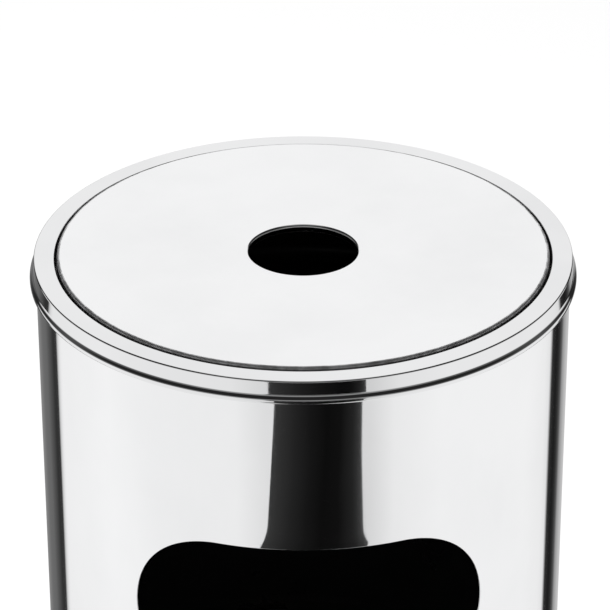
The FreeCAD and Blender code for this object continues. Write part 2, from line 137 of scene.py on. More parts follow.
def polishedSteel(name, values, changes=None):
    values = dict(values, **(changes or {}))
    material, tree, shader = newMaterial(name, {"Metallic": 1.0})
    lines = surfaceNoise(tree, values["grain"], 1.0, 3.0)
    smears = surfaceNoise(tree, (1.0, 1.0, 0.6), 9.0, 6.0)
    colour = rampNode(tree, smears, [(0.3, values["dull"]), (0.62, values["bright"])])
    tree.links.new(colour, shader.inputs["Base Color"])
    rough = rangeNode(tree, lines, 0.3, 0.7, values["roughLow"], values["roughHigh"])
    smeared = rangeNode(tree, smears, 0.35, 0.7, 0.012, 0.0)
    tree.links.new(mathNode(tree, "ADD", rough, smeared), shader.inputs["Roughness"])
    waves = surfaceNoise(tree, (1.0, 1.0, 0.35), 14.0, 1.0)
    addBump(tree, shader, waves, values["waviness"], 0.00012)
    return material


# near-black lacquer used as painted shade for the unlit insides
paintedShadeValues = {"colour": (0.011, 0.011, 0.012), "roughness": 0.3, "peel": 0.35}


# black lacquer: real paint on the ballast, painted shade on the unlit insides
def darkLacquerAndShade(name, values):
    material, tree, shader = newMaterial(name, {"Specular IOR Level": 0.35})
    cloud = surfaceNoise(tree, (1.0, 1.0, 1.0), 22.0, 5.0)
    dark = tuple(0.7 * part for part in values["colour"])
    tree.links.new(rampNode(tree, cloud, [(0.3, dark), (0.7, values["colour"])]), shader.inputs["Base Color"])
    spread = (values["roughness"] - 0.06, values["roughness"] + 0.12)
    tree.links.new(rangeNode(tree, cloud, 0.3, 0.7, *spread), shader.inputs["Roughness"])
    addBump(tree, shader, surfaceNoise(tree, (1.0, 1.0, 1.0), 650.0, 2.0), values["peel"], 0.0001)
    return material


plasticValues = {"colour": (0.022, 0.022, 0.023), "roughness": 0.46, "grain": 0.6}


def mouldedPlastic(name, values):
    material, tree, shader = newMaterial(name, {"IOR": 1.49})
    cloud = surfaceNoise(tree, (1.0, 1.0, 1.0), 40.0, 4.0)
    pale = tuple(1.5 * part for part in values["colour"])
    tree.links.new(rampNode(tree, cloud, [(0.35, values["colour"]), (0.8, pale)]), shader.inputs["Base Color"])
    spread = (values["roughness"] - 0.08, values["roughness"] + 0.1)
    tree.links.new(rangeNode(tree, cloud, 0.3, 0.7, *spread), shader.inputs["Roughness"])
    addBump(tree, shader, surfaceNoise(tree, (1.0, 1.0, 1.0), 1400.0, 2.0), values["grain"], 0.00012)
    return material


platedValues = {
    "colour": (0.62, 0.62, 0.61),
    "dull": (0.42, 0.42, 0.42),
    "roughLow": 0.2,
    "roughHigh": 0.42,
}


def platedSteel(name, values, stretch=(1.0, 1.0, 1.0)):
    material, tree, shader = newMaterial(name, {"Metallic": 1.0})
    spangle = surfaceNoise(tree, stretch, 160.0, 5.0)
    colour = rampNode(tree, spangle, [(0.3, values["dull"]), (0.65, values["colour"])])
    tree.links.new(colour, shader.inputs["Base Color"])
    rough = rangeNode(tree, spangle, 0.3, 0.7, values["roughHigh"], values["roughLow"])
    tree.links.new(rough, shader.inputs["Roughness"])
    addBump(tree, shader, spangle, 0.25, 0.0001)
    return material


bodySteel = polishedSteel("bodySteel", steelValues)
rimSteel = polishedSteel("rimSteel", steelValues, {
    "bright": (0.79, 0.792, 0.798), "dull": (0.73, 0.733, 0.74),
    "grain": (240.0, 240.0, 900.0), "waviness": 0.05,
})
lidSteel = polishedSteel("lidSteel", steelValues, {
    "grain": (60.0, 60.0, 60.0), "roughLow": 0.10, "roughHigh": 0.14, "waviness": 0.05,
})
satinEdge = platedSteel("satinEdge", dict(
    platedValues, colour=(0.88, 0.88, 0.89), roughLow=0.46, roughHigh=0.58,
))
# painted shade: dark, dull steel that stands in for the shade in the gap under the lid
gapShadeSteel = platedSteel("gapShadeSteel", dict(
    platedValues, colour=(0.12, 0.12, 0.125), roughLow=0.5, roughHigh=0.6,
))
sheetSteel = platedSteel("sheetSteel", platedValues)
zincPlate = platedSteel("zincPlate", platedValues)
drawnWire = platedSteel("drawnWire", dict(platedValues, roughLow=0.12, roughHigh=0.26), (0.2, 0.2, 0.2))
rivetMetal = platedSteel("rivetMetal", dict(platedValues, colour=(0.72, 0.72, 0.73), roughHigh=0.3))
# painted shade: the tube's inside, the ash pan and the bucket are near black, standing in for their unlit
# hollows
paintedShadeInside = darkLacquerAndShade("paintedShadeInside", paintedShadeValues)
paintedShadeBucket = darkLacquerAndShade("paintedShadeBucket", dict(paintedShadeValues, colour=(0.016, 0.016, 0.017)))
blackPlastic = mouldedPlastic("blackPlastic", plasticValues)
softRubber = mouldedPlastic("softRubber", dict(plasticValues, roughness=0.75))
ballastPaint = darkLacquerAndShade("ballastPaint", {"colour": (0.07, 0.07, 0.075), "roughness": 0.5, "peel": 0.8})
print("materials ready")


def addToScene(thing):
    bpy.context.scene.collection.objects.link(thing)
    return thing


def finishPiece(name, mesh, body, nodes, slot, *materials):
    for material in materials:
        mesh.materials.append(material)
    piece = addToScene(bpy.data.objects.new(name, mesh))
    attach(piece, body)
    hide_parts(*nodes)
    return piece


# closed half section: each corner is (radius, level, rounding); gives points with their outward normals
def roundedOutline(corners, steps=8):
    count = len(corners)
    flat = [Vector(corner[:2]) for corner in corners]
    area = sum(flat[i - 1].x * flat[i].y - flat[i].x * flat[i - 1].y for i in range(count))
    if area < 0:
        corners = list(reversed(corners))
        flat.reverse()
    points = []
    for index, corner in enumerate(corners):
        rounding = corner[2] if len(corner) > 2 else 0
        here = flat[index]
        if rounding <= 0:
            points.append((here, None))
            continue
        back = (flat[index - 1] - here).normalized()
        ahead = (flat[(index + 1) % count] - here).normalized()
        half = back.angle(ahead) / 2
        centre = here + (back + ahead).normalized() * (rounding / math.sin(half))
        start = here + back * (rounding / math.tan(half)) - centre
        end = here + ahead * (rounding / math.tan(half)) - centre
        outward = Vector((-back.y, back.x))
        sign = 1 if outward.dot(start) > 0 else -1
        turn = start.angle_signed(end)
        for step in range(steps + 1):
            arm = start.copy()
            arm.rotate(Matrix.Rotation(-turn * step / steps, 2))
            points.append((centre + arm, sign * arm.normalized()))
    return points


# mesh turned about the Z axis, with exact normals; shade(middle of a side) picks its material
def lathe(corners, segments=256, steps=8, shade=None):
    points = roundedOutline(corners, steps)
    count = len(points)
    mesh = bpy.data.meshes.new("turned")
    vertices = []
    first = []      # first vertex of each outline point
    for place, normal in points:
        first.append(len(vertices))
        turns = 1 if place.x < 1e-6 else segments
        for turn in range(turns):
            angle = 2 * math.pi * turn / segments
            vertices.append((place.x * mm * math.cos(angle), place.x * mm * math.sin(angle), place.y * mm))
    faces = []
    normals = []
    slots = []
    for index in range(count):
        after = (index + 1) % count
        (placeA, normalA), (placeB, normalB) = points[index], points[after]
        along = placeB - placeA
        if along.length < 1e-7 or (placeA.x < 1e-6 and placeB.x < 1e-6):
            continue
        side = Vector((along.y, -along.x)).normalized()
        startNormal = normalA if normalA is not None else side
        endNormal = normalB if normalB is not None else side
        for turn in range(segments):
            following = (turn + 1) % segments
            angles = (2 * math.pi * turn / segments, 2 * math.pi * (turn + 1) / segments)
            if placeA.x < 1e-6:
                ring = [(first[index], startNormal, angles[0])]
            else:
                ring = [
                    (first[index] + turn, startNormal, angles[0]),
                    (first[index] + following, startNormal, angles[1]),
                ]
            if placeB.x < 1e-6:
                ring.append((first[after], endNormal, angles[1]))
            else:
                ring.append((first[after] + following, endNormal, angles[1]))
                ring.append((first[after] + turn, endNormal, angles[0]))
            faces.append([item[0] for item in ring])
            for item in ring:
                flatNormal, angle = item[1], item[2]
                normals.append((flatNormal.x * math.cos(angle), flatNormal.x * math.sin(angle), flatNormal.y))
            slots.append(shade((placeA + placeB) / 2) if shade else 0)
    mesh.from_pydata(vertices, [], faces)
    mesh.polygons.foreach_set("use_smooth", [True] * len(faces))
    mesh.polygons.foreach_set("material_index", slots)
    mesh.normals_split_custom_set(normals)
    mesh.update()
    return mesh


tubeValues = {
    "wall": 0.8,
    "openingWidth": 171.0,  # measured along the sheet
    "openingHeight": 86.0,
    "openingDrop": 87.0,    # from the rim's top down to the opening's upper edge
    "dishWidth": 13.0,      # the sheet leans in this far around the opening
    "dishDepth": 0.16,
    "lipRound": 0.32,       # rounding of the cut edge
    "columns": 256,
    "openingColumns": 76,   # columns and rows that the opening's patch covers
    "openingRows": 32,
    "patchHeight": 132.0,
    "patchGap": 8.0,        # from the patch to the next ring of vertices
    "ringSteps": (0.0, 0.04, 0.12, 0.32, 0.8, 2.0, 4.0, 6.5, 9.5, 13.0, 19.0),
}


def tubeBody(values):
    radius = high("body_tube", 0)
    bottom, top = low("body_tube"), high("body_tube")
    endRadius = values["openingHeight"] / 2
    straight = values["openingWidth"] / 2 - endRadius     # half of the opening's straight stretch
    middle = high("rim_ring") - values["openingDrop"] - endRadius
    columns, wide, tall = values["columns"], values["openingColumns"], values["openingRows"]
    spacing = 2 * math.pi * radius / columns
    patchHalf = spacing * wide / 2
    patchLow = middle - values["patchHeight"] / 2
    patchHigh = patchLow + values["patchHeight"]
    rowStep = values["patchHeight"] / tall

    # point and outward direction on the opening's edge: sides run top, right, bottom, left
    def openingPoint(side, share):
        arc = endRadius * math.pi / 4
        if side in (0, 2):
            length = 2 * (arc + straight) * share - arc - straight
            if abs(length) <= straight:
                place, out = Vector((length, endRadius)), Vector((0, 1))
            else:
                sign = 1 if length > 0 else -1
                turn = (abs(length) - straight) / endRadius
                out = Vector((sign * math.sin(turn), math.cos(turn)))
                place = Vector((sign * straight, 0)) + out * endRadius
        else:
            turn = math.pi / 4 + math.pi / 2 * share
            out = Vector((math.sin(turn), math.cos(turn)))
            place = Vector((straight, 0)) + out * endRadius
        if side >= 2:
            place, out = -place, -out
        return place, out

    def patchPoint(side, share):
        across = patchHalf * (2 * share - 1)
        up = values["patchHeight"] / 2
        if side == 0:
            return Vector((across, up))
        if side == 1:
            return Vector((patchHalf, up * (1 - 2 * share)))
        if side == 2:
            return Vector((-across, -up))
        return Vector((-patchHalf, -up * (1 - 2 * share)))

    around = []
    for side, count in ((0, wide), (1, tall), (2, wide), (3, tall)):
        for step in range(count):
            place, out = openingPoint(side, step / count)
            around.append((place, out, patchPoint(side, step / count)))

    # how far the sheet has leant in at this distance from the cut, and its slope
    def lean(distance):
        share = max(0.0, 1 - distance / values["dishWidth"])
        return values["dishDepth"] * share ** 3, 3 * values["dishDepth"] * share ** 2 / values["dishWidth"]

    # how far the cut edge's rounding falls away, and its slope
    def rounding(distance):
        lip = values["lipRound"]
        short = max(0.0, lip - distance)
        side = math.sqrt(lip * lip - short * short)
        return lip - side, min(short / max(side, 1e-3), 8.0)

    mesh = bmesh.new()
    normals = {}

    def addQuad(corners, face):
        mesh.faces.new(corners if face == "outer" else tuple(reversed(corners)))

    def placeVertex(along, level, face, depth, slope=0.0, out=(0.0, 1.0)):
        reach = (radius - depth if face == "outer" else radius - values["wall"] - depth) * mm
        angle = along / radius
        vertex = mesh.verts.new((reach * math.sin(angle), -reach * math.cos(angle), level * mm))
        radial = Vector((math.sin(angle), -math.cos(angle), 0))
        sideways = Vector((math.cos(angle), math.sin(angle), 0))
        normal = (radial - (sideways * out[0] + Vector((0, 0, out[1]))) * slope).normalized()
        normals[vertex] = normal if face == "outer" else -normal
        return vertex

    edges = {}
    for face in ("outer", "inner"):
        rings = []
        for distance in values["ringSteps"]:
            depth, slope = lean(distance)
            if face == "outer":
                fall, steepness = rounding(distance)
                depth, slope = depth + fall, slope + steepness
            ring = []
            for place, out, corner in around:
                point = place + out * distance
                ring.append(placeVertex(point.x, middle + point.y, face, depth, slope, out))
            rings.append(ring)
        farDistance = values["ringSteps"][-1]
        for share in (0.5, 1.0):
            ring = []
            for place, out, corner in around:
                point = (place + out * farDistance).lerp(corner, share)
                ring.append(placeVertex(point.x, middle + point.y, face, 0.0))
            rings.append(ring)
        count = len(around)
        for inner, outer in zip(rings, rings[1:]):
            for index in range(count):
                after = (index + 1) % count
                addQuad((inner[index], inner[after], outer[after], outer[index]), face)
        boundary = rings[-1]
        edges[face] = rings[0]

        # columns of the rest of the tube continue the patch's own columns and rows
        topRow = boundary[:wide] + [boundary[wide]]
        rightRow = boundary[wide:wide + tall] + [boundary[wide + tall]]
        bottomRow = list(reversed(boundary[wide + tall:2 * wide + tall + 1]))
        leftRow = [boundary[0]] + list(reversed(boundary[2 * wide + tall:]))
        upperLevels = (top, patchHigh + values["patchGap"])
        lowerLevels = (patchLow - values["patchGap"], bottom)
        columnsRound = []
        for column in range(columns):
            along = spacing * (column - wide / 2)
            upper = [placeVertex(along, level, face, 0.0) for level in upperLevels]
            lower = [placeVertex(along, level, face, 0.0) for level in lowerLevels]
            if column <= wide:
                columnsRound.append((upper + [topRow[column]], [bottomRow[column]] + lower))
            else:
                side = [placeVertex(along, patchHigh - rowStep * row, face, 0.0) for row in range(tall + 1)]
                columnsRound.append((upper + [side[0]], [side[-1]] + lower, side))
        for column in range(columns):
            here, following = columnsRound[column], columnsRound[(column + 1) % columns]
            for strip in (0, 1):
                for corners in zip(here[strip], here[strip][1:], following[strip][1:], following[strip]):
                    addQuad(corners, face)
            if column >= wide:
                left = rightRow if column == wide else here[2]
                right = leftRow if column == columns - 1 else following[2]
                for corners in zip(left, left[1:], right[1:], right):
                    addQuad(corners, face)
        edges[face + "Top"] = [item[0][0] for item in columnsRound]
        edges[face + "Bottom"] = [item[1][-1] for item in columnsRound]
    joins = (
        ("outer", "inner", "inner"), ("outerTop", "innerTop", "outer"), ("outerBottom", "innerBottom", "inner"),
    )
    for first, second, face in joins:
        count = len(edges[first])
        for index in range(count):
            after = (index + 1) % count
            corners = (edges[first][index], edges[first][after], edges[second][after], edges[second][index])
            addQuad(corners, face)
    mesh.normal_update()
    # inward faces get the second material, near black as painted shade for the unlit inside
    for face in mesh.faces:
        face.smooth = True
        middlePoint = face.calc_center_median()
        outwards = Vector((middlePoint.x, middlePoint.y, 0)).normalized()
        if face.normal.dot(outwards) < -0.5:
            face.material_index = 1     # inside of the tube
    cornerNormals = []
    for face in mesh.faces:
        for vertex in face.verts:
            normal = normals[vertex]
            cornerNormals.append(normal if normal.dot(face.normal) > 0.5 else face.normal.copy())
    made = bpy.data.meshes.new("bodyTube")
    mesh.to_mesh(made)
    mesh.free()
    made.normals_split_custom_set(cornerNormals)
    return finishPiece("bodyTube", made, "stand", ["body_tube"], "polished_steel", bodySteel, paintedShadeInside)


tubeBody(tubeValues)
print("body tube done")


rimPlane = high("rim_ring")
rimValues = {
    "inner": 116.25,
    "crease": (125.8, 0.0, 0.8),      # corners are (radius, level from the top, rounding)
    "cove": (126.5, -7.0, 2.0),
    "flare": (127.9, -8.4, 1.4),
    "lip": (127.9, -10.75, 1.2),      # rolled lip, the widest part
    "sheet": 0.8,
}


def rimRing(values):
    sheet, inner = values["sheet"], values["inner"]
    seat = low("rim_ring") - rimPlane + 2.0
    tube = high("body_tube", 0)
    crease, cove, flare, lip = (values[name] for name in ("crease", "cove", "flare", "lip"))
    section = [
        (inner, seat), (inner, 0.0, 0.5), crease, cove, flare, lip,
        (tube + 0.02, lip[1]), (tube + 0.02, lip[1] + 1.0),
        (lip[0] - sheet - 0.6, lip[1] + 1.0, 0.2), (cove[0] - sheet, cove[1] - 0.6, 0.8),
        (crease[0] - sheet, -sheet, 0.5), (inner + sheet, -sheet, 0.3), (inner + sheet, seat),
    ]
    corners = [(corner[0], corner[1] + rimPlane, *corner[2:]) for corner in section]

    # painted shade: the rim's inner faces in the gap under the lid get dark, dull steel
    def shade(point):
        return 1 if point.x < inner + sheet + 0.1 and point.y < rimPlane - 0.6 else 0

    mesh = lathe(corners, 320, 10, shade)
    return finishPiece("rimRing", mesh, "stand", ["rim_ring"], "polished_steel_rim", rimSteel, gapShadeSteel)


lidValues = {
    "sheet": 1.0,
    "edgeRound": 1.3,
    "hole": 25.5,
    "holeRound": 1.5,
    "dimple": 38.0,
    "dimpleDepth": 0.75,
    "dimpleRound": 160.0,
    "collar": 4.2,
}


def lidDisc(values):
    top, bottom = high("lid_disc"), low("lid_disc")
    edge = high("lid_disc", 0)
    sheet, hole, dimple = values["sheet"], values["hole"], values["dimple"]
    sunk = top - values["dimpleDepth"]
    corners = [
        (hole, top - values["collar"], 0.2),
        (hole + sheet * 0.8, top - values["collar"], 0.2),
        (hole + sheet * 0.8, sunk - sheet, 0.5),
        (dimple, top - sheet, values["dimpleRound"]),
        (edge - sheet, top - sheet, 0.3),
        (edge - sheet, bottom),
        (edge, bottom, 0.2),
        (edge, top, values["edgeRound"]),
        (dimple, top, values["dimpleRound"]),
        (hole, sunk, values["holeRound"]),
    ]

    # satin edges: the disc's outer edge, and the cut end of the turned-down collar
    def shade(point):
        return 1 if point.x > edge - values["edgeRound"] or point.y < top - values["collar"] + 0.3 else 0

    mesh = lathe(corners, 320, 12, shade)
    return finishPiece("lidDisc", mesh, "lid", ["lid_disc"], "polished_steel_lid", lidSteel, satinEdge)


panValues = {"sheet": 0.8, "wallRadius": 110.6, "floorRound": 8.0, "ribRadius": 62.0, "ribHeight": 1.6}


def ashPan(values):
    bottom, top = low("ash_pan"), high("ash_pan")
    flange = high("ash_pan", 0)
    wall, sheet = values["wallRadius"], values["sheet"]
    rib, lift = values["ribRadius"], values["ribHeight"]
    corners = [
        (0, bottom + lift), (rib - 3, bottom + lift, 3.0), (rib + 3, bottom, 3.0),
        (wall, bottom, values["floorRound"]), (wall, top - sheet, 0.3), (flange, top - sheet, 0.2),
        (flange, top, 0.3), (wall - sheet, top, 1.0),
        (wall - sheet, bottom + sheet, values["floorRound"] - sheet), (rib + 3, bottom + sheet, 3.0),
        (rib - 3, bottom + lift + sheet, 3.0), (0, bottom + lift + sheet),
    ]
    # the pan gets the near-black painted shade that stands in for the unlit hollow under the lid
    return finishPiece("ashPan", lathe(corners, 192), "pan", ["ash_pan"], "black_lacquer", paintedShadeInside)


bucketValues = {
    "radius": 100.0,
    "wall": 0.8,
    "bead": 1.8,
    "swages": (0.30, 0.34, 0.82),   # share of the height at which each groove runs round
    "swageDepth": 0.8,
    "swageHalf": 4.0,
    "floorStep": 1.5,               # the floor's outer part is pressed down by this
    "floorMiddle": 60.0,            # radius of the raised middle
}


def bucketPieces(values):
    radius = values["radius"]
    bottom, top = low("bucket_wall"), high("bucket_wall")
    inner = radius - values["wall"]
    bead = values["bead"]
    outerSide, innerSide = [], []
    for share in values["swages"]:
        level = bottom + share * (top - bottom)
        depth, half = values["swageDepth"], values["swageHalf"]
        outerSide += [(radius, level - half, 3.0), (radius - depth, level, 3.0), (radius, level + half, 3.0)]
        innerSide += [(inner, level - half, 3.0), (inner - depth, level, 3.0), (inner, level + half, 3.0)]
    corners = [(inner, bottom), (radius, bottom)] + outerSide
    corners += [(radius, top, bead * 0.98), (radius - 2 * bead, top, bead * 0.98)]
    corners += [(radius - 2 * bead, top - 2 * bead, bead * 0.9), (inner, top - 2 * bead - 0.3)]
    corners += list(reversed(innerSide))
    # painted shade: wall and floor are near black to stand in for the unlit inside of the bucket
    finishPiece("bucketWall", lathe(corners, 192), "bucket", ["bucket_wall"], "black_lacquer", paintedShadeBucket)

    floor, reach = high("bucket_floor"), high("bucket_floor", 0)
    sheet, centre = values["wall"], values["floorMiddle"]
    sunk = floor - values["floorStep"]
    corners = [
        (0, floor - sheet), (centre, floor - sheet, 4.0), (centre + 3, sunk - sheet, 4.0),
        (reach - sheet - 6, sunk - sheet, 4.0), (reach - sheet, floor - sheet, 1.0),
        (reach - sheet, bottom), (reach, bottom), (reach, floor, 1.6),
        (reach - 6, floor, 2.0), (reach - 8, sunk, 4.0), (centre + 3, sunk, 4.0), (centre, floor, 4.0),
        (0, floor),
    ]
    finishPiece("bucketFloor", lathe(corners, 128), "bucket", ["bucket_floor"], "black_lacquer", paintedShadeBucket)


baseValues = {
    "inner": 121.4,
    "lip": 9.0,
    "web": 3.0,
    "round": 1.4,
    "groove": 0.5,          # depth of the fine groove round the ring
    "grooveLevel": 4.2,
}


def baseRing(values):
    reach, top = high("base_ring", 0), high("base_ring")
    tube = high("body_tube", 0)
    wall = tube - tubeValues["wall"]
    groove, level = values["groove"], values["grooveLevel"]
    corners = [
        (values["inner"], 0, 0.6), (reach - 2.5, 0, 0.4), (reach, 0.9, 0.8), (reach, level - 0.6, 0.15),
        (reach - groove, level - 0.3, 0.15), (reach - groove, level + 0.3, 0.15), (reach, level + 0.6, 0.15),
        (reach, top, values["round"]), (tube + 0.02, top, 0.3), (tube + 0.02, values["web"]),
        (wall - 0.02, values["web"]), (wall - 0.02, values["lip"], 0.4), (values["inner"], values["lip"], 0.8),
    ]
    mesh = lathe(corners, 256, 5)
    return finishPiece("baseRing", mesh, "stand", ["base_ring"], "black_plastic", blackPlastic)


rimRing(rimValues)
lidDisc(lidValues)
ashPan(panValues)
bucketPieces(bucketValues)
baseRing(baseValues)
print("turned pieces done")


# geometry nodes tree with named inputs after its geometry
def newTree(name, inputs):
    tree = bpy.data.node_groups.new(name, "GeometryNodeTree")
    interface = tree.interface
    interface.new_socket("Geometry", in_out="INPUT", socket_type="NodeSocketGeometry")
    interface.new_socket("Geometry", in_out="OUTPUT", socket_type="NodeSocketGeometry")
    for label, kind in inputs:
        interface.new_socket(label, in_out="INPUT", socket_type=kind)
    return tree, tree.nodes.new("NodeGroupInput"), tree.nodes.new("NodeGroupOutput")


# every tree ends in Realize Instances and Set Material
def endTree(tree, geometry, material, output):
    realized = addNode(tree, "GeometryNodeRealizeInstances", {}, {"Geometry": geometry}).outputs[0]
    painted = addNode(tree, "GeometryNodeSetMaterial", {}, {"Geometry": realized, "Material": material})
    tree.links.new(painted.outputs[0], output.inputs[0])


# plain mesh that the tree makes from a source object
def growPiece(name, source, tree, values):
    modifier = source.modifiers.new(name, "NODES")
    modifier.node_group = tree
    for item in tree.interface.items_tree:
        if item.in_out == "INPUT" and item.name in values:
            modifier[item.identifier] = values[item.name]
    source.update_tag()
    bpy.context.view_layer.update()
    evaluated = source.evaluated_get(bpy.context.evaluated_depsgraph_get())
    mesh = bpy.data.meshes.new_from_object(evaluated)
    source.modifiers.remove(modifier)
    bpy.data.objects.remove(source)
    mesh.name = name
    return mesh


def pathObject(name, points):
    curve = bpy.data.curves.new(name, "CURVE")
    curve.dimensions = "3D"
    spline = curve.splines.new("POLY")
    spline.points.add(len(points) - 1)
    for target, point in zip(spline.points, points):
        target.co = (*point, 1)
    return addToScene(bpy.data.objects.new(name, curve))


# round wire along a path
def wireTree(material):
    tree, given, output = newTree("wireAlongPath", [("Radius", "NodeSocketFloat"), ("Sides", "NodeSocketInt")])
    circle = addNode(tree, "GeometryNodeCurvePrimitiveCircle", {}, {
        "Resolution": given.outputs["Sides"], "Radius": given.outputs["Radius"],
    })
    tube = addNode(tree, "GeometryNodeCurveToMesh", {}, {
        "Curve": given.outputs["Geometry"], "Profile Curve": circle.outputs["Curve"], "Fill Caps": True,
    })
    endTree(tree, tube.outputs[0], material, output)
    return tree


handleValues = {
    "radius": 105.5,
    "bend": 4.0,            # radius of the bend into the ear
    "end": 97.6,            # how far out the wire's end is
    "wire": 1.75,
    "droop": 6.5,           # degrees below level at rest
    "headRadius": 2.8,
    "headLength": 1.4,
    "gripRadius": 4.1,
    "gripAngle": 44.0,
    "ribs": 23,
    "ribRadius": 0.4,
}


# point of the level handle, laid down at its droop about the ears' axis
def handlePoint(x, y, values):
    droop = math.radians(values["droop"])
    pivot = next(joint for joint in frame["joints"] if joint["name"] == "handle_swing")["pos_m"][2]
    return (x * mm, y * mm * math.cos(droop), pivot - y * mm * math.sin(droop))


def arcPoints(centre, radius, start, end, count):
    for step in range(count + 1):
        angle = start + (end - start) * step / count
        yield centre[0] + radius * math.cos(angle), centre[1] + radius * math.sin(angle)


def wireHandle(values):
    radius, bend, end = values["radius"], values["bend"], values["end"]
    bendX = math.sqrt((radius - bend) ** 2 - bend ** 2)
    meet = math.atan2(bend, bendX)
    half = [(end, 0)]
    half += list(arcPoints((bendX, bend), bend, -math.pi / 2, meet, 10))
    quarter = list(arcPoints((0, 0), radius, meet, math.pi / 2, 48))
    half += quarter[1:]
    full = half + [(-x, y) for x, y in reversed(half[:-1])]
    source = pathObject("handlePath", [handlePoint(x, y, values) for x, y in full])
    mesh = growPiece("bucketHandle", source, wireTree(drawnWire), {"Radius": values["wire"] * mm, "Sides": 20})
    heads = bmesh.new()
    heads.from_mesh(mesh)
    for side in (-1, 1):
        place = Matrix.Translation(Vector(handlePoint(side * (end + values["headLength"] / 2), 0, values)))
        turn = Matrix.Rotation(math.pi / 2, 4, "Y")
        made = bmesh.ops.create_cone(
            heads, cap_ends=True, segments=24, radius1=values["headRadius"] * mm,
            radius2=values["headRadius"] * mm, depth=values["headLength"] * mm, matrix=place @ turn,
        )
        rimEdges = [
            edge for edge in {e for vertex in made["verts"] for e in vertex.link_edges}
            if edge.calc_face_angle(0) > 1.0
        ]
        bmesh.ops.bevel(heads, geom=rimEdges, offset=0.35 * mm, segments=3, affect="EDGES")
    for face in heads.faces:
        face.smooth = True
    for edge in heads.edges:
        edge.smooth = edge.calc_face_angle(0) < math.radians(40)
    heads.to_mesh(mesh)
    heads.free()
    mesh.materials.clear()
    return finishPiece("bucketHandle", mesh, "handle", ["bucket_bail"], "plain_wire", drawnWire)


# tube along a path with even ribs round it
def gripTree(material):
    tree, given, output = newTree("ribbedGrip", [
        ("Grip Radius", "NodeSocketFloat"), ("Rib Radius", "NodeSocketFloat"), ("Rib Count", "NodeSocketInt"),
    ])
    outline = addNode(tree, "GeometryNodeCurvePrimitiveCircle", {}, {
        "Resolution": 32, "Radius": given.outputs["Grip Radius"],
    })
    tube = addNode(tree, "GeometryNodeCurveToMesh", {}, {
        "Curve": given.outputs["Geometry"], "Profile Curve": outline.outputs["Curve"], "Fill Caps": True,
    })
    ribSection = addNode(tree, "GeometryNodeCurvePrimitiveCircle", {}, {
        "Resolution": 8, "Radius": given.outputs["Rib Radius"],
    })
    rib = addNode(tree, "GeometryNodeCurveToMesh", {}, {
        "Curve": outline.outputs["Curve"], "Profile Curve": ribSection.outputs["Curve"],
    })
    places = addNode(tree, "GeometryNodeCurveToPoints", {"mode": "COUNT"}, {
        "Curve": given.outputs["Geometry"], "Count": given.outputs["Rib Count"],
    })
    ribs = addNode(tree, "GeometryNodeInstanceOnPoints", {}, {
        "Points": places.outputs["Points"], "Instance": rib.outputs[0], "Rotation": places.outputs["Rotation"],
    })
    both = addNode(tree, "GeometryNodeJoinGeometry")
    tree.links.new(tube.outputs[0], both.inputs[0])
    tree.links.new(ribs.outputs[0], both.inputs[0])
    endTree(tree, both.outputs[0], material, output)
    return tree


def handleGrip(values):
    half = math.radians(values["gripAngle"]) / 2
    route = list(arcPoints((0, 0), values["radius"], math.pi / 2 + half, math.pi / 2 - half, 44))
    source = pathObject("gripPath", [handlePoint(x, y, values) for x, y in route])
    mesh = growPiece("handleGrip", source, gripTree(blackPlastic), {
        "Grip Radius": values["gripRadius"] * mm,
        "Rib Radius": values["ribRadius"] * mm,
        "Rib Count": values["ribs"],
    })
    mesh.polygons.foreach_set("use_smooth", [True] * len(mesh.polygons))
    mesh.materials.clear()
    return finishPiece("handleGrip", mesh, "handle", ["bail_grip"], "black_plastic", blackPlastic)


rivetValues = {
    "shank": 2.0,
    "head": 3.6,
    "headHeight": 1.3,
    "tail": 3.1,            # radius of the closed end inside the bucket
    "through": 2.3,         # how much sheet each rivet holds
}


# one rivet at each point, pointing along the point's aim
def rivetTree(material):
    tree, given, output = newTree("rivetsOnPoints", [("Rivet", "NodeSocketObject")])
    body = addNode(tree, "GeometryNodeObjectInfo", {}, {"Object": given.outputs["Rivet"]})
    aim = addNode(tree, "GeometryNodeInputNamedAttribute", {"data_type": "FLOAT_VECTOR"}, {"Name": "aim"})
    turn = addNode(tree, "FunctionNodeAlignRotationToVector", {"axis": "Z"}, {"Vector": aim.outputs[0]})
    placed = addNode(tree, "GeometryNodeInstanceOnPoints", {}, {
        "Points": given.outputs["Geometry"], "Instance": body.outputs["Geometry"], "Rotation": turn.outputs[0],
    })
    endTree(tree, placed.outputs[0], material, output)
    return tree


def earRivets(values):
    lowCorner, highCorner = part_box("ear_rivets")
    start = -values["through"]
    section = [
        (0, start - values["headHeight"]), (values["tail"], start - values["headHeight"], 0.7),
        (values["tail"], start), (values["shank"], start), (values["shank"], 0), (values["head"], 0, 0.1),
        (values["head"], values["headHeight"], 1.15), (0, values["headHeight"]),
    ]
    rivet = addToScene(bpy.data.objects.new("oneRivet", lathe(section, 28, 6)))
    outside = highCorner[0] / mm - values["headHeight"]
    levels = [lowCorner[2] / mm + values["head"], highCorner[2] / mm - values["head"]]
    places = [(side * outside * mm, 0, level * mm) for side in (-1, 1) for level in levels]
    points = bpy.data.meshes.new("rivetPoints")
    points.from_pydata(places, [], [])
    aims = points.attributes.new("aim", "FLOAT_VECTOR", "POINT")
    for index, place in enumerate(places):
        aims.data[index].vector = (1 if place[0] > 0 else -1, 0, 0)
    source = addToScene(bpy.data.objects.new("rivetPoints", points))
    mesh = growPiece("earRivets", source, rivetTree(rivetMetal), {"Rivet": rivet})
    bpy.data.objects.remove(rivet)
    mesh.materials.clear()
    return finishPiece("earRivets", mesh, "bucket", ["ear_rivets"], "rivet_metal", rivetMetal)


wireHandle(handleValues)
handleGrip(handleValues)
earRivets(rivetValues)
print("handle and rivets done")


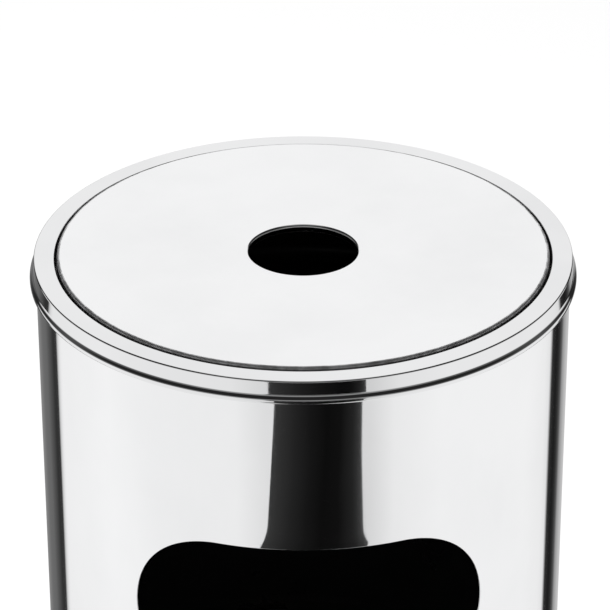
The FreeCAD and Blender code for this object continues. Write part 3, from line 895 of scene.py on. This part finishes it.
keptNodes = {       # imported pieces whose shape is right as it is
    "seat_ring": sheetSteel, "base_plate": sheetSteel, "lid_pads": softRubber, "bucket_rim_wire": drawnWire,
    "bail_ear_left": zincPlate, "bail_ear_right": zincPlate, "ballast_disc": ballastPaint,
    "ballast_bolt": zincPlate, "ballast_washer": zincPlate, "ballast_nut": zincPlate,
}
for nodeName, material in keptNodes.items():
    for slot in frame["nodes"][nodeName].material_slots:
        slot.material = material


studioValues = {
    "turn": -1.3,           # degrees from the front, to the left
    "floorShade": 0.84,
    "floorHalf": 30.0,      # metres from the middle to the floor's sides
    "worldStrength": 1.0,
    "domeRadius": 2.6,
    "domeHeight": 0.6,
    "keyPower": 60.0,
    "keySize": 2.4,
    "keyPlace": (-1.0, -1.2, 3.2),
    "lens": 199.7,
    "sensor": 36.0,
    "distance": 1.582,
    "pitch": 27.03,         # degrees that the camera looks down
    "aimDown": 0.928,       # degrees turned down and right after aiming at the rim's middle
    "aimRight": 0.029,
    "roll": 0.127,
}


# glow that ends a material's tree; it lights nothing by itself
def endInGlow(material, shade):
    tree = material.node_tree
    glow = addNode(tree, "ShaderNodeEmission", {}, {"Color": shade, "Strength": 1.0})
    output = tree.nodes.new("ShaderNodeOutputMaterial")
    tree.links.new(glow.outputs[0], output.inputs[0])
    material.cycles.emission_sampling = "NONE"


def emptyMaterial(name):
    material = bpy.data.materials.new(name)
    material.use_nodes = True
    material.node_tree.nodes.clear()
    return material


# soft white studio seen only in reflections: white side panels and back wall, dark gaps between them
def domeMaterial():
    material = emptyMaterial("studioDome")
    tree = material.node_tree
    place = addNode(tree, "ShaderNodeTexCoord").outputs["Object"]
    direction = addNode(tree, "ShaderNodeVectorMath", {"operation": "NORMALIZE"}, {0: place}).outputs[0]
    split = addNode(tree, "ShaderNodeSeparateXYZ", {}, {0: direction})
    backwards = mathNode(tree, "MULTIPLY", split.outputs["Y"], -1.0)
    azimuth = mathNode(tree, "ARCTAN2", split.outputs["X"], backwards)
    around = rangeNode(tree, azimuth, -math.pi, math.pi, 0.0, 1.0, "LINEAR")
    height = mathNode(tree, "ARCSINE", split.outputs["Z"])

    def degrees(stops):
        return [(0.5 + angle / 360, shade) for angle, shade in stops]

    left = [
        (-180, 0.40), (-152, 0.16), (-145, 0.145), (-141, 0.10), (-137.5, 0.065), (-134.5, 0.032),
        (-130.2, 0.045), (-129.2, 0.72), (-126, 0.97), (-90, 1.05), (-28, 0.98), (-20, 0.90),
    ]
    right = [
        (38, 0.94), (60, 1.012), (110, 1.01), (126, 0.95), (131.5, 0.86), (132.8, 0.035),
        (139, 0.012), (143, 0.03), (147, 0.10), (150, 0.33), (156, 0.49), (180, 0.75),
    ]
    below = rampNode(tree, around, degrees(left + [(-16, 0.86), (27, 0.78)] + right))
    near = rampNode(tree, around, degrees(
        left
        + [(-15.6, 0.84), (-13.4, 0.04), (-4, 0.012), (8, 0.005), (21, 0.03), (25, 0.74), (30, 0.80)]
        + right
    ))
    walls = rampNode(tree, around, degrees([
        (-180, 1.03), (-152, 1.02), (-146, 0.06), (-140, 0.02), (-127, 0.02), (-112, 0.09),
        (-60, 0.12), (-30, 0.30), (30, 0.30), (60, 0.12), (112, 0.09), (127, 0.02),
        (136, 0.02), (146, 0.06), (152, 1.02), (180, 1.03),
    ]))
    ceiling = rampNode(tree, around, degrees([
        (-180, 1.03), (-152, 1.02), (-146, 0.06), (-140, 0.02),
        (136, 0.02), (146, 0.06), (152, 1.02), (180, 1.03),
    ]))
    shade = below
    for start, end, above in ((-13, -11, near), (-9, 13, walls), (24, 36, ceiling), (62, 78, 0.3)):
        share = rangeNode(tree, height, math.radians(start), math.radians(end), 0.0, 1.0)
        shade = mixShade(tree, share, shade, above)
    endInGlow(material, shade)
    return material


def onlyInReflections(thing):
    thing.visible_camera = False
    thing.visible_diffuse = False
    thing.visible_shadow = False
    thing.visible_transmission = False
    thing.visible_volume_scatter = False


cardRows = [        # distance in front, left end, right end
    (-0.135, -0.028, 0.030),
    (-0.80, -0.263, 0.395),
    (-0.88, -0.258, 0.397),
    (-1.02, -0.248, 0.440),
    (-1.22, -0.236, 0.540),
    (-2.50, -0.650, 1.140),
]


# dark strip on the floor in front, seen only in reflections
def floorCard(rows, turn):
    points = []
    for level, left, right in rows:
        points += [(left, level, 0.002), (right, level, 0.002)]
    mesh = bpy.data.meshes.new("floorCard")
    faces = [(row, row + 1, row + 3, row + 2) for row in range(0, len(points) - 2, 2)]
    mesh.from_pydata(points, [], faces)
    layer = mesh.uv_layers.new(name="across")
    for loop in mesh.loops:
        layer.data[loop.index].uv = (loop.vertex_index % 2, 0)      # 0 at the left edge, 1 at the right
    material = emptyMaterial("floorCard")
    tree = material.node_tree
    across = addNode(tree, "ShaderNodeUVMap", {"uv_map": "across"}).outputs[0]
    place = addNode(tree, "ShaderNodeSeparateXYZ", {}, {0: across}).outputs["X"]
    shade = rampNode(tree, place, [
        (0.0, 0.046), (0.08, 0.032), (0.22, 0.018), (0.38, 0.009), (0.55, 0.0045), (0.72, 0.006), (0.88, 0.018),
        (1.0, 0.05),
    ])
    endInGlow(material, shade)
    mesh.materials.append(material)
    card = addToScene(bpy.data.objects.new("floorCard", mesh))
    card.rotation_euler.z = math.radians(turn)
    onlyInReflections(card)


def studioDome(values):
    mesh = bpy.data.meshes.new("studioDome")
    ball = bmesh.new()
    bmesh.ops.create_uvsphere(ball, u_segments=64, v_segments=32, radius=values["domeRadius"])
    ball.to_mesh(mesh)
    ball.free()
    mesh.materials.append(domeMaterial())
    dome = addToScene(bpy.data.objects.new("studioDome", mesh))
    dome.location.z = values["domeHeight"]
    dome.rotation_euler.z = math.radians(values["turn"])
    onlyInReflections(dome)


def floorAndLights(values):
    mesh = bpy.data.meshes.new("floor")
    half = values["floorHalf"]
    corners = [(-half, -half, 0), (half, -half, 0), (half, half, 0), (-half, half, 0)]
    mesh.from_pydata(corners, [], [(0, 1, 2, 3)])
    material, tree, shader = newMaterial("paleFloor", {"Roughness": 0.9, "Specular IOR Level": 0.1})
    shade = values["floorShade"]
    shader.inputs["Base Color"].default_value = (shade, shade, shade, 1)
    mesh.materials.append(material)
    floor = addToScene(bpy.data.objects.new("floor", mesh))
    floor.visible_glossy = False

    world = bpy.data.worlds.new("softStudio")
    world.use_nodes = True
    background = world.node_tree.nodes["Background"]
    background.inputs["Color"].default_value = (1, 1, 1, 1)
    background.inputs["Strength"].default_value = values["worldStrength"]
    bpy.context.scene.world = world

    light = bpy.data.lights.new("softKey", "AREA")
    light.shape = "DISK"
    light.size = values["keySize"]
    light.energy = values["keyPower"]
    key = addToScene(bpy.data.objects.new("softKey", light))
    key.location = values["keyPlace"]
    key.rotation_euler = (Vector((0, 0, 0.3)) - key.location).to_track_quat("-Z", "Y").to_euler()
    key.visible_glossy = False
    key.visible_camera = False


# camera aimed at the middle of the rim, then turned down a little
def placeCamera(values):
    turn, pitch = math.radians(values["turn"]), math.radians(values["pitch"])
    target = Vector((0, 0, rimPlane * mm))
    away = Vector((math.sin(turn) * math.cos(pitch), -math.cos(turn) * math.cos(pitch), math.sin(pitch)))
    camera = bpy.data.cameras.new("camera")
    camera.lens = values["lens"]
    camera.sensor_width = values["sensor"]
    camera.clip_end = 100
    cameraObject = addToScene(bpy.data.objects.new("camera", camera))
    facing = (-away).to_track_quat("-Z", "Y").to_matrix()
    facing = facing @ Matrix.Rotation(math.radians(-values["aimDown"]), 3, "X")
    facing = facing @ Matrix.Rotation(math.radians(-values["aimRight"]), 3, "Y")
    facing = facing @ Matrix.Rotation(math.radians(-values["roll"]), 3, "Z")
    cameraObject.matrix_world = Matrix.Translation(target + away * values["distance"]) @ facing.to_4x4()
    bpy.context.scene.camera = cameraObject


studioDome(studioValues)
floorCard(cardRows, studioValues["turn"])
floorAndLights(studioValues)
placeCamera(studioValues)
bpy.context.scene.view_settings.view_transform = "Standard"
print("studio ready")
